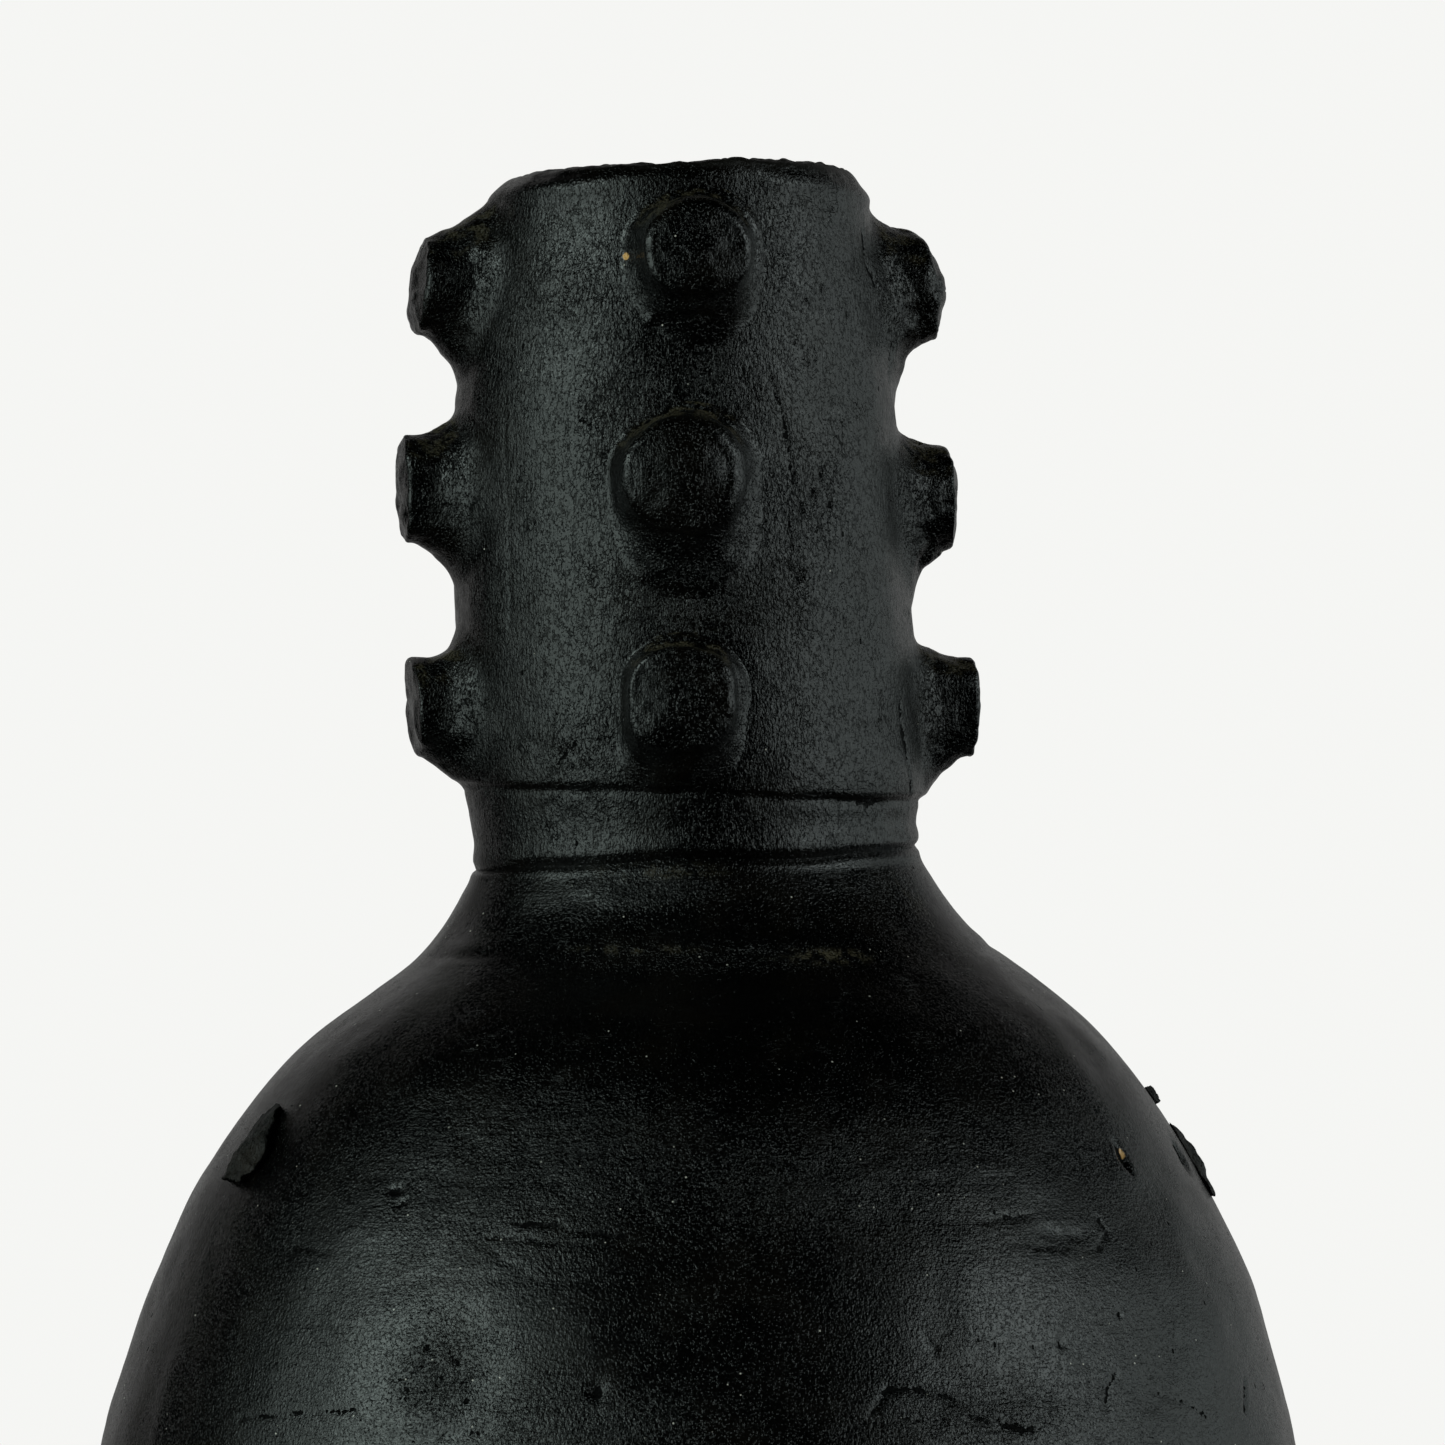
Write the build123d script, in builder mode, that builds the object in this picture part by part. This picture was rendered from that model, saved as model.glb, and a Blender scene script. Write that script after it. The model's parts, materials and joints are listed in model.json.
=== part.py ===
"""Coil-built black clay jar: round belly, sloping shoulder and a tall, slightly leaning neck
that carries four columns of pressed-on clay knobs.

The wall is a stack of clay coils. Each coil overlaps the one below on a bevelled joint, the neck
stands on a flat joint at the top of the shoulder, and the knobs and the small chips of clay are
stuck to the outside of the wall. Every coil, knob and chip is a solid of its own.

Millimetres and degrees. +Z is up, the origin is the middle of the foot, and -Y is the front.
"""

from build123d import *

import os
from math import asin, cos, degrees, radians, sin, sqrt

os.makedirs("parts", exist_ok=True)

# Belly: a sphere up to its widest line, flattened into a foot
belly_radius = 125.0
belly_height = 112.0
foot_radius = sqrt(belly_radius**2 - belly_height**2)
wall = 8.0
floor_thickness = 10.0

# Shoulder: outside line from the widest line up to the neck joint, as (radius, height)
shoulder_points = [(118.7, 152.0), (101.9, 193.0), (77.9, 223.6), (58.3, 239.0)]
neck_joint_radius = 45.8
neck_joint_height = 257.0
neck_joint_slope = (-0.42, 1.0)
throat_radius = 38.2
inner_shoulder_places = (0, 0.2, 0.4, 0.6, 0.8, 1)

# Coil joints: height of each on the outside of the wall, and the bevel they share
base_joint = 4.0
body_joint_heights = [62.0, 104.0, 144.0, 184.0, 213.0, 239.0]
joint_bevel = 35.0
joint_reach = 20.0

# Neck: leans to the left; outside line as (radius, height above the neck joint)
neck_lean = 1.8
neck_shift = -1.2
neck_length = 142.0
neck_points = [
    (45.8, -4.0),
    (45.5, 6.0),
    (46.5, 14.0),
    (47.3, 35.0),
    (46.4, 68.0),
    (44.4, 95.0),
    (41.6, 117.0),
]
neck_end_slopes = ((0, 1), (-0.16, 1))
rim_foot_radius = 38.9
rim_foot = 132.0
collar_joint = 14.0
rim_joint = 130.5
inner_neck_places = (0, 0.2, 0.4, 0.6, 0.8, 0.95)

# Mouth
mouth_radius = 30.0
bore_start = 128.5
lip_start = 136.0
lip_outer_round = 6.0
lip_inner_round = 1.5
lip_lean = 0.3

# Knobs, pressed on by eye: (azimuth, height above the neck joint) of the top, middle and bottom
# knob of each column, then (reach from the neck axis, wall radius under it) for each row
knob_columns = {
    "front": [(-85.0, 123.0), (-88.2, 77.5), (-91.0, 32.5)],
    "right": [(7.0, 117.0), (7.0, 73.3), (7.0, 31.2)],
    "back": [(95.0, 119.5), (93.5, 75.5), (92.0, 31.5)],
    "left": [(190.0, 118.8), (190.0, 76.5), (190.0, 30.9)],
}
knob_rows = {"top": (55.2, 40.4), "middle": (58.2, 46.1), "bottom": (58.6, 47.3)}
knob_face_radius = 10.4
knob_waist_radius = 10.0
knob_edge_round = 1.2
knob_dome = 0.5
knob_skirt = 6.0
knob_sink = 4.0
knob_core = 25.0

# Chips stuck to the shoulder: (azimuth, height, length, width, thickness, turn of the long side)
chips = {
    "left_scab": (-156.5, 199.0, 15.0, 10.0, 2.4, 62.0),
    "right_flake": (-2.0, 195.5, 18.0, 4.0, 1.4, 86.0),
    "right_crumb": (1.0, 207.8, 4.2, 3.2, 2.2, 80.0),
}
chip_sink = 3.0
chip_taper = 8.0


def place_at_height(line, height):
    """How far along a rising line, from 0 to 1, it passes a height."""
    low, high = 0.0, 1.0
    for _ in range(40):
        middle = (low + high) / 2
        if (line @ middle).Y < height:
            low = middle
        else:
            high = middle
    return low


def outward_at(line, along):
    """Direction out of the wall, square to a rising outside line."""
    return (line % along).rotate(Axis.Z, -90)


def inside_points(line, places):
    """Points one wall thickness inside the outside line."""
    return [line @ along - outward_at(line, along) * wall for along in places]


def bevelled_joint(line, height):
    """Ends of a straight joint that crosses the wall, running inwards and down."""
    along = place_at_height(line, height)
    slope = outward_at(line, along).rotate(Axis.Z, joint_bevel) * joint_reach
    return line @ along - slope, line @ along + slope


def turned(plane, angle):
    """The same plane with its X axis turned about its own normal."""
    side = plane.x_dir * cos(radians(angle)) + plane.y_dir * sin(radians(angle))
    return Plane(origin=plane.origin, x_dir=side, z_dir=plane.z_dir)


def level_joint(height):
    """Ends of a level line well outside the wall, for the top of a stack."""
    return Vector(0, height), Vector(belly_radius, height)


def make_coil(label, section, plane, lower, upper, level_foot=None):
    """One coil: the part of a wall section between two joints, turned about the plane's Y axis."""
    with BuildPart() as coil:
        with BuildSketch(plane):
            add(section.sketch)
            with BuildLine():
                Polyline(lower[0], lower[1], upper[1], upper[0], close=True)
            make_face(mode=Mode.INTERSECT)
        revolve(axis=Axis(plane.origin, plane.y_dir))
        if level_foot is not None:
            split(bisect_by=level_foot, keep=Keep.TOP)
    coil.part.label = label
    export_step(coil.part, f"parts/{label}.step")


# Body: outside line, wall section and the filled shape that the chips are trimmed to
with BuildLine() as body_outside:
    foot_angle = degrees(asin(belly_height / belly_radius))
    belly = CenterArc((0, belly_height), belly_radius, -foot_angle, foot_angle)
    shoulder = Spline(
        belly @ 1,
        *shoulder_points,
        (neck_joint_radius, neck_joint_height),
        tangents=(belly % 1, neck_joint_slope),
    )
body_line = body_outside.wire()

with BuildSketch() as body_section:
    with BuildLine():
        add(body_outside.line)
        inner_angle = degrees(asin((belly_height - floor_thickness) / (belly_radius - wall)))
        inner_belly = CenterArc((0, belly_height), belly_radius - wall, -inner_angle, inner_angle)
        inner_shoulder = Spline(
            *inside_points(shoulder, inner_shoulder_places),
            tangents=(shoulder % 0, shoulder % 1),
        )
        Polyline(belly @ 0, (0, 0), (0, floor_thickness), inner_belly @ 0)
        Polyline(inner_shoulder @ 1, (throat_radius, neck_joint_height), shoulder @ 1)
    make_face()

with BuildPart() as body_core:
    with BuildSketch(Plane.XZ):
        with BuildLine():
            add(body_outside.line)
            Polyline(belly @ 0, (0, 0), (0, neck_joint_height), shoulder @ 1)
        make_face()
    revolve(axis=Axis.Z)

# Body coils, from the foot up
base_edge = bevelled_joint(body_line, base_joint)
with BuildPart() as base_disc:
    with BuildSketch(Plane.XZ):
        add(body_section.sketch)
        with BuildLine():
            Polyline(
                (0, -floor_thickness),
                (base_edge[1].X, -floor_thickness),
                base_edge[1],
                base_edge[0],
                (0, base_edge[0].Y),
                close=True,
            )
        make_face(mode=Mode.INTERSECT)
    revolve(axis=Axis.Z)
base_disc.part.label = "base_disc"
export_step(base_disc.part, "parts/base_disc.step")

body_joints = [base_edge]
body_joints += [bevelled_joint(body_line, height) for height in body_joint_heights]
body_joints += [level_joint(neck_joint_height + joint_reach)]
body_coils = [
    "lower_bowl",
    "lower_belly_coil",
    "middle_belly_coil",
    "upper_belly_coil",
    "lower_shoulder_coil",
    "upper_shoulder_coil",
    "shoulder_cone",
]
for name, lower, upper in zip(body_coils, body_joints, body_joints[1:]):
    make_coil(name, body_section, Plane.XZ, lower, upper)

# Neck: its own leaning planes, wall section and filled shape
neck_foot = (neck_shift, 0, neck_joint_height)
neck_axis = (-sin(radians(neck_lean)), 0, cos(radians(neck_lean)))
neck_side = (cos(radians(neck_lean)), 0, sin(radians(neck_lean)))
neck_upright = Plane(origin=neck_foot, x_dir=neck_side, z_dir=(0, -1, 0))
neck_level = Plane(origin=neck_foot, x_dir=neck_side, z_dir=neck_axis)
flat_joint = Plane.XY.offset(neck_joint_height)

with BuildLine() as neck_outside:
    neck_side_line = Spline(*neck_points, (rim_foot_radius, rim_foot), tangents=neck_end_slopes)
neck_line = neck_outside.wire()

with BuildSketch() as neck_section:
    with BuildLine():
        add(neck_outside.line)
        lip_radius = rim_foot_radius - lip_lean
        Line(neck_side_line @ 1, (lip_radius, lip_start))
        outer_lip = RadiusArc(
            (lip_radius, lip_start),
            (lip_radius - lip_outer_round, neck_length),
            -lip_outer_round,
        )
        inner_lip = RadiusArc(
            (mouth_radius + lip_inner_round, neck_length),
            (mouth_radius, neck_length - lip_inner_round),
            -lip_inner_round,
        )
        Line(outer_lip @ 1, inner_lip @ 0)
        inner_neck = Spline(*inside_points(neck_side_line, inner_neck_places))
        Polyline(inner_lip @ 1, (mouth_radius, bore_start), inner_neck @ 1)
        Line(inner_neck @ 0, neck_side_line @ 0)
    make_face()

with BuildPart() as neck_core:
    with BuildSketch(neck_upright):
        with BuildLine():
            add(neck_outside.line)
            start, end = neck_side_line @ 0, neck_side_line @ 1
            Polyline(start, (0, start.Y), (0, neck_length), (end.X, neck_length), end)
        make_face()
    revolve(axis=Axis(neck_foot, neck_axis))

neck_joints = [
    level_joint(neck_points[0][1]),
    bevelled_joint(neck_line, collar_joint),
    bevelled_joint(neck_line, rim_joint),
    level_joint(neck_length + joint_reach),
]
neck_coils = ["neck_collar", "neck_tube", "rim_coil"]
for name, lower, upper in zip(neck_coils, neck_joints, neck_joints[1:]):
    make_coil(name, neck_section, neck_upright, lower, upper, level_foot=flat_joint)


def make_knob(label, azimuth, height, reach, wall_radius):
    """A round stud with a flat face and a flared skirt, pressed onto the neck."""
    level = turned(neck_level.offset(height), azimuth)
    foot = wall_radius - knob_sink
    with BuildPart() as knob:
        with BuildSketch(level):
            with BuildLine():
                dome = RadiusArc(
                    (reach, 0),
                    (reach - knob_dome, knob_face_radius - knob_edge_round),
                    -knob_face_radius**2 / (2 * knob_dome),
                )
                edge = RadiusArc(
                    dome @ 1,
                    (reach - knob_dome - knob_edge_round, knob_face_radius),
                    -knob_edge_round,
                )
                waist = Line(edge @ 1, (foot + knob_skirt, knob_waist_radius))
                skirt = RadiusArc(waist @ 1, (foot, knob_waist_radius + knob_skirt), knob_skirt)
                Polyline(skirt @ 1, (knob_core, knob_waist_radius + knob_skirt), (knob_core, 0), dome @ 0)
            make_face()
        revolve(axis=Axis(level.origin, level.x_dir))
        add(neck_core.part, mode=Mode.SUBTRACT)
    knob.part.label = label
    export_step(knob.part, f"parts/{label}.step")


for column, places in knob_columns.items():
    for (row, (reach, wall_radius)), (azimuth, height) in zip(knob_rows.items(), places):
        make_knob(f"knob_{column}_{row}", azimuth, height, reach, wall_radius)


def make_chip(label, azimuth, height, length, width, thickness, turn):
    """A flat crumb of clay with broken edges, stuck to the outside of the shoulder."""
    along = place_at_height(body_line, height)
    point = body_line @ along
    outward = outward_at(body_line, along)
    east, north = cos(radians(azimuth)), sin(radians(azimuth))
    seat = Plane(
        origin=(point.X * east, point.X * north, point.Y),
        x_dir=(-north, east, 0),
        z_dir=(outward.X * east, outward.X * north, outward.Y),
    )
    half, side = length / 2, width / 2
    with BuildPart() as chip:
        with BuildSketch(turned(seat.offset(-chip_sink), turn)):
            with BuildLine():
                Polyline(
                    (-half, -0.2 * side),
                    (-0.6 * half, -0.8 * side),
                    (0.6 * half, -side),
                    (half, 0.1 * side),
                    (0.3 * half, 0.8 * side),
                    (-0.5 * half, side),
                    close=True,
                )
            make_face()
        extrude(amount=chip_sink + thickness, taper=chip_taper)
        add(body_core.part, mode=Mode.SUBTRACT)
    chip.part.label = label
    export_step(chip.part, f"parts/{label}.step")


for name, sizes in chips.items():
    make_chip(name, *sizes)
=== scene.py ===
"""Black clay jar: the hand-made skin of every coil, knob and chip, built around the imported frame."""
import json
from math import atan2, cos, pi, radians, sin, tan

import bpy
import numpy as np
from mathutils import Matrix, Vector
from mathutils.bvhtree import BVHTree


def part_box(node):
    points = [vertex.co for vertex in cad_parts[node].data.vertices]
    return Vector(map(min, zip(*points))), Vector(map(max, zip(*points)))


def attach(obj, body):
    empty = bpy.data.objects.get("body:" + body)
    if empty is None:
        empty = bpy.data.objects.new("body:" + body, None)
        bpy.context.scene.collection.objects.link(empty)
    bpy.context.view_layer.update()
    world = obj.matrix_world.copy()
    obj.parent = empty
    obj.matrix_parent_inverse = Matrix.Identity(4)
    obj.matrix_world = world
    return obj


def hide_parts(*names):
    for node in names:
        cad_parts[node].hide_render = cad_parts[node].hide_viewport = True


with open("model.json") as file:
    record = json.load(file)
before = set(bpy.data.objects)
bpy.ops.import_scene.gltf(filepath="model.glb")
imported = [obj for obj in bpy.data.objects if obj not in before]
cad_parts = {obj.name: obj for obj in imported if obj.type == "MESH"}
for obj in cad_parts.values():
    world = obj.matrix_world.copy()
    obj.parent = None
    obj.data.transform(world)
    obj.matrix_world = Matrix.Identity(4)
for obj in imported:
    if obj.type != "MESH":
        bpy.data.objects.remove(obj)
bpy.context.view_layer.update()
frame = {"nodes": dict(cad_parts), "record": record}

# Shapes are worked out in millimetres in the row frame and turned into metres as meshes are made.
MM = 0.001

WALL_COILS = [
    "base_disc", "lower_bowl", "lower_belly_coil", "middle_belly_coil", "upper_belly_coil",
    "lower_shoulder_coil", "upper_shoulder_coil", "shoulder_cone", "neck_collar", "neck_tube", "rim_coil",
]


# ---------------- repeatable noise

def lattice_value(x, y, z, seed):
    """Repeatable values from -1 to 1 at whole-number lattice points."""
    mixed = (x * 73856093) ^ (y * 19349663) ^ (z * 83492791) ^ (seed * 26544357)
    mixed = ((mixed ^ (mixed >> 13)) * 1274126177) & 0xFFFFFFFF
    mixed = ((mixed ^ (mixed >> 15)) * 668265263) & 0xFFFFFFFF
    return ((mixed ^ (mixed >> 16)) & 0xFFFF) / 32767.5 - 1.0


def noise(points, size, seed):
    """Smooth noise from about -1 to 1; size is the width of its bumps, one number or one for each axis."""
    scaled = points / np.asarray(size, float)
    cell = np.floor(scaled).astype(np.int64)
    part = scaled - cell
    part = part * part * part * (part * (part * 6 - 15) + 10)
    total = 0.0
    for corner in range(8):
        dx, dy, dz = corner & 1, (corner >> 1) & 1, (corner >> 2) & 1
        weight = (
            (part[..., 0] if dx else 1 - part[..., 0])
            * (part[..., 1] if dy else 1 - part[..., 1])
            * (part[..., 2] if dz else 1 - part[..., 2])
        )
        total = total + weight * lattice_value(cell[..., 0] + dx, cell[..., 1] + dy, cell[..., 2] + dz, seed)
    return total * 1.6


def smooth_step(value, low, high):
    """0 below low, 1 above high, with a smooth rise between."""
    part = np.clip((value - low) / (high - low), 0, 1)
    return part * part * (3 - 2 * part)


def bell(value, centre, width):
    """A smooth bump of height 1."""
    return np.exp(-(((value - centre) / width) ** 2))


def angle_from(theta, centre):
    """Signed angle in radians from a centre azimuth in degrees, between -pi and pi."""
    return (theta - radians(centre) + pi) % (2 * pi) - pi


# ---------------- outline of the wall, read from the frame

def search_tree(names):
    """One search tree over the faces of some CAD nodes, in millimetres."""
    points, faces = [], []
    for name in names:
        mesh = frame["nodes"][name].data
        first = len(points)
        points += [vertex.co / MM for vertex in mesh.vertices]
        faces += [[first + i for i in polygon.vertices] for polygon in mesh.polygons]
    return BVHTree.FromPolygons(points, faces)


wall_tree = search_tree(WALL_COILS)
mouth = next(mount for mount in frame["record"]["mounts"] if mount["name"] == "mouth")
neck_axis = Vector(mouth["axis"])
mouth_radius = mouth["dims"]["r_mm"]
floor_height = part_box("base_disc")[1].z / MM
neck_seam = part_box("neck_collar")[0].z / MM
neck_rise = (mouth["pos_m"][2] / MM - neck_seam) / neck_axis.z
neck_foot = Vector(mouth["pos_m"]) / MM - neck_axis * neck_rise
neck_length = (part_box("rim_coil")[1].z / MM - neck_seam) / neck_axis.z - mouth_radius * abs(neck_axis.x)

OUTLINE_STEP = 0.5
FAR = 400.0


def axis_point(height):
    """Point on the belly's axis, or on the leaning neck's axis above the seam."""
    if height < neck_seam:
        return Vector((0, 0, height))
    return neck_foot + neck_axis * (height - neck_seam)


def wall_radius(height, outside):
    """Radius of the CAD wall at a height, outside or inside, measured towards the back."""
    start = axis_point(height)
    if outside:
        hit = wall_tree.ray_cast(start + Vector((0, FAR, 0)), Vector((0, -1, 0)))[0]
    else:
        hit = wall_tree.ray_cast(start, Vector((0, 1, 0)))[0]
    return hit.y


def softened(values, width):
    """Values with the facets of the CAD mesh smoothed away."""
    reach = int(3 * width / OUTLINE_STEP)
    offsets = np.arange(-reach, reach + 1) * OUTLINE_STEP
    weights = np.exp(-0.5 * (offsets / width) ** 2)
    line = np.concatenate([
        2 * values[0] - values[reach:0:-1],
        values,
        2 * values[-1] - values[-2:-reach - 2:-1],
    ])
    return np.convolve(line, weights / weights.sum(), "valid")


LIP_DEPTH = 7.0
cone_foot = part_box("upper_shoulder_coil")[1].z / MM
top_height = neck_seam + neck_length
lip_start = top_height - LIP_DEPTH
outer_heights = np.arange(0.25, lip_start, OUTLINE_STEP)
outer_radii = softened(np.array([wall_radius(h, True) for h in outer_heights]), 1.6)
inner_heights = np.arange(floor_height + 0.25, lip_start, OUTLINE_STEP)
inner_radii = softened(np.array([wall_radius(h, False) for h in inner_heights]), 1.6)
outer_slope = np.gradient(outer_radii, outer_heights)
outer_run = np.concatenate([[0], np.cumsum(np.hypot(np.diff(outer_heights), np.diff(outer_radii)))])


def outer_radius(height):
    """Radius of the smooth outline at a height."""
    return np.interp(height, outer_heights, outer_radii)


# Sideways drift of the real jar's middle, as (height, drift to the right)
DRIFT = [
    (0, 0.0), (140, -0.6), (200, 0.0), (232, 1.4), (250, 0.4),
    (262, -1.8), (310, -4.1), (350, -5.7), (391, -4.9), (400, -4.2),
]
drift_heights, drift_sideways = np.array(DRIFT).T


def centre_x(height):
    """Where the middle of the wall is at a height, to the right of the belly's axis."""
    fine = np.arange(0, 410.0, 2.0)
    line = np.interp(fine, drift_heights, drift_sideways)
    kernel = np.exp(-0.5 * (np.arange(-12, 13) / 4.0) ** 2)
    padded_line = np.pad(line, 12, mode="edge")
    line = np.convolve(padded_line, kernel / kernel.sum(), "valid")
    return np.interp(height, fine, line)


# ---------------- relief: what the potter's hands left

def seam_height(theta):
    """Height of the wavy seam between collar and shoulder."""
    return neck_seam + 0.5 + 2.0 * np.cos(theta) + 0.45 * np.sin(3 * theta + 1.0) + 0.25 * np.sin(7 * theta)


def ledge_height(theta):
    """Height of the small ledge where the neck tube overhangs the collar."""
    return neck_seam + 14.2 - 1.7 * np.cos(theta) + 0.4 * np.sin(4 * theta + 2.0)


def wavy(height, swing, seed):
    """A joint height that wanders a little round the jar."""
    def at(theta):
        return height + swing * (0.6 * np.sin(2 * theta + seed) + 0.4 * np.sin(5 * theta + 2.3 * seed))
    return at


# Cracks and scratches: how dark their painted shade is, how deep in millimetres, and the line as points of
# (azimuth, height)
CRACKS = [
    (0.55, 0.2, [(-139.5, 351), (-138.5, 338), (-137.5, 318), (-138.5, 304)]),
    (0.85, 0.35, [(-64.5, 355), (-61.5, 348), (-60, 339), (-59.6, 333)]),
    (0.7, 0.3, [(-62, 327), (-62.3, 317), (-60.5, 308)]),
    (0.65, 0.25, [(-55, 331), (-54, 324), (-57, 317)]),
    (0.85, 0.4, [(-114, 346), (-108, 343), (-103, 341), (-99, 344), (-94, 347)]),
    (0.8, 0.35, [(-124.5, 276.5), (-119, 280.5), (-114, 286)]),
    (0.95, 0.45, [(-65, 271.3), (-51, 269.8), (-36, 268.4)]),
    (1, 0.6, [(-18.5, 385.5), (-20.5, 380), (-18, 374)]),
    (1, 0.6, [(-10.8, 362.5), (-12.5, 355)]),
    (1, 0.6, [(-23.5, 288), (-23, 282), (-21, 277), (-19, 271)]),
    (0.7, 0.25, [(-106, 312), (-95, 309.5), (-85, 311)]),
    (1, 0.6, [(-73.5, 151.5), (-71.8, 155.9), (-69, 155.5), (-66, 153.9), (-63.5, 150), (-60.2, 148),
                  (-56.5, 147.3)]),
    (0.85, 0.4, [(-76.5, 148.5), (-71, 149.8), (-66.5, 149.3)]),
    (0.85, 0.4, [(-47.6, 150.5), (-47, 154), (-45.2, 157)]),
    (0.95, 0.5, [(-22.3, 153), (-24.5, 147)]),
    (0.8, 0.35, [(-40.5, 153.5), (-37, 150.5), (-33, 147.3)]),
    (0.9, 0.4, [(-67.2, 166), (-66.4, 162.8)]),
    (0.55, 0.2, [(-55.5, 183), (-49, 181.4), (-43.5, 180.8)]),
    (0.9, 0.4, [(-43, 181.2), (-40.6, 184), (-41.5, 187)]),
    (0.8, 0.3, [(-58, 187.6), (-51.5, 188.1)]),
    (0.9, 0.4, [(-139, 147.8), (-131, 149.6), (-124.5, 150.6)]),
    (0.85, 0.35, [(-114.5, 146.8), (-110, 147.8)]),
    (0.9, 0.4, [(-110, 187), (-106.5, 187.2), (-102.5, 185.8), (-98, 185.2)]),
    (0.8, 0.3, [(-113, 184.6), (-104, 183.4), (-96, 183.8)]),
    (0.55, 0.2, [(-114, 183.5), (-106.5, 177)]),
    (0.9, 0.45, [(-97.2, 194.5), (-96, 191), (-94.8, 188)]),
    (0.75, 0.3, [(-138, 181.6), (-132.5, 180.6)]),
    (0.85, 0.4, [(38, 202), (46, 199), (54, 200.5), (58, 197)]),
    (0.85, 0.4, [(112, 176), (120, 177.5), (129, 175)]),
    (0.7, 0.3, [(64, 346), (62.5, 331), (64, 318)]),
    (0.7, 0.3, [(141, 330), (143, 318), (141, 306)]),
    (0.85, 0.4, [(82, 128), (74, 131), (69, 129)]),
    (0.8, 0.4, [(5, 150), (12, 152), (21, 149)]),
    (0.8, 0.4, [(-174, 96), (-166, 98), (-160, 95)]),
    (0.8, 0.4, [(-70, 88), (-61, 86), (-55, 88.5)]),
    (0.62, 0.12, [(-141, 166.3), (-126, 166.9), (-109, 166.4)]),
    (0.6, 0.12, [(-122, 176), (-108, 176.7), (-98, 176.2)]),
    (0.6, 0.12, [(-120, 152.6), (-104, 152.3), (-92, 153)]),
    (0.9, 0.25, [(-118.6, 160.6), (-117.4, 159.4)]),
    (0.9, 0.25, [(-115, 162), (-114.3, 160.4)]),
    (0.9, 0.25, [(-113.2, 156.8), (-112, 156.4)]),
    (0.9, 0.25, [(-116.4, 155.4), (-115.8, 153.6)]),
    (0.9, 0.25, [(-111.2, 160), (-110.2, 158.6)]),
    (0.85, 0.25, [(-120.4, 157.2), (-119.4, 156.9)]),
]
CRACK_REACH = 1.5

# Pits and dents: (azimuth, height, half width, half height, depth)
PITS = [
    (-31.5, 198, 1.3, 3, 1),
    (-126.3, 192.6, 1.9, 0.9, 0.5),
    (-124.8, 190.4, 0.9, 0.7, 0.35),
    (-48, 183.6, 8, 2, 0.3),
    (-53.5, 331.5, 0.9, 1.2, 0.5),
    (-50.5, 335, 0.8, 1.1, 0.5),
    (-57.5, 328.5, 1, 0.8, 0.5),
    (-48, 329, 0.8, 1.4, 0.4),
    (-59.5, 314, 0.9, 0.9, 0.5),
    (-117.5, 163.2, 1.2, 1, 0.5),
    (-115.5, 157.5, 0.9, 1.1, 0.5),
    (-119, 155, 1.1, 0.8, 0.5),
    (-112.5, 153.5, 0.8, 0.8, 0.4),
    (-114, 160.5, 0.8, 0.9, 0.4),
    (-99.5, 155.5, 1.2, 2.2, 0.7),
    (-52, 163, 0.9, 1.1, 0.5),
    (-43, 168, 0.8, 0.8, 0.4),
    (-10.5, 197, 2.5, 3.5, 0.8),
    (-100, 352, 6, 3, 0.4),
    (75, 228, 2, 1.4, 0.8),
    (150, 205, 1.6, 2.2, 0.8),
]


# Arched hollow in the clay below the top knob of the front
HOLLOW_AZIMUTH = -87.0
HOLLOW_TOP = 368.0


# Broad swellings and hollows of the wall: (azimuth, height, half width, half height, rise)
SWELLS = [
    (-4, 171, 60, 15, 1.4),
    (-176, 235, 30, 9, -1.3),
    (-2, 264, 22, 5, -1.2),
    (-118, 196, 22, 12, -0.5),
    (-62, 176, 20, 16, 0.5),
    (70, 190, 40, 22, -0.9),
    (150, 150, 50, 30, 0.8),
]


def wandering(points):
    """A little wander, in millimetres, that makes drawn lines ragged."""
    return 0.9 * noise(points, 3.4, 21) + 0.5 * noise(points, 1.4, 23)


def crack_lines(theta, height, radius, points):
    """How close the skin is to a crack or pit, from 0 to 1 and scaled by how dark its painted shade is, and
    the crack's depth there.
    """
    wander = 0.3 * wandering(points)
    gaps = smooth_step(noise(points, 2.4, 27), -0.75, -0.25)
    height = height + wander
    near = np.zeros(np.shape(height + theta))
    deep = np.zeros(np.shape(height + theta))
    for dark, depth, path in CRACKS:
        for (azimuth, low), (next_azimuth, next_low) in zip(path, path[1:]):
            across = angle_from(theta, azimuth) * radius + wander
            run, rise = radians(next_azimuth - azimuth) * radius, next_low - low
            share = np.clip((across * run + (height - low) * rise) / (run**2 + rise**2), 0, 1)
            gap = np.hypot(across - share * run, height - low - share * rise)
            line = np.clip(1 - gap / CRACK_REACH, 0, 1)
            near = np.maximum(near, dark * line * gaps)
            deep = np.maximum(deep, 0.6 * depth * line**2)
    return near, deep


def oval(theta, height, radius, place, wander=0.0):
    """A soft oval at a place given as (azimuth, height, half width, half height, strength)."""
    azimuth, middle, half_width, half_height, strength = place
    across = (angle_from(theta, azimuth) * radius + wander) / half_width
    up = (height - middle + wander) / half_height
    return strength * np.exp(-((across**2 + up**2) ** 1.5))


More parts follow.
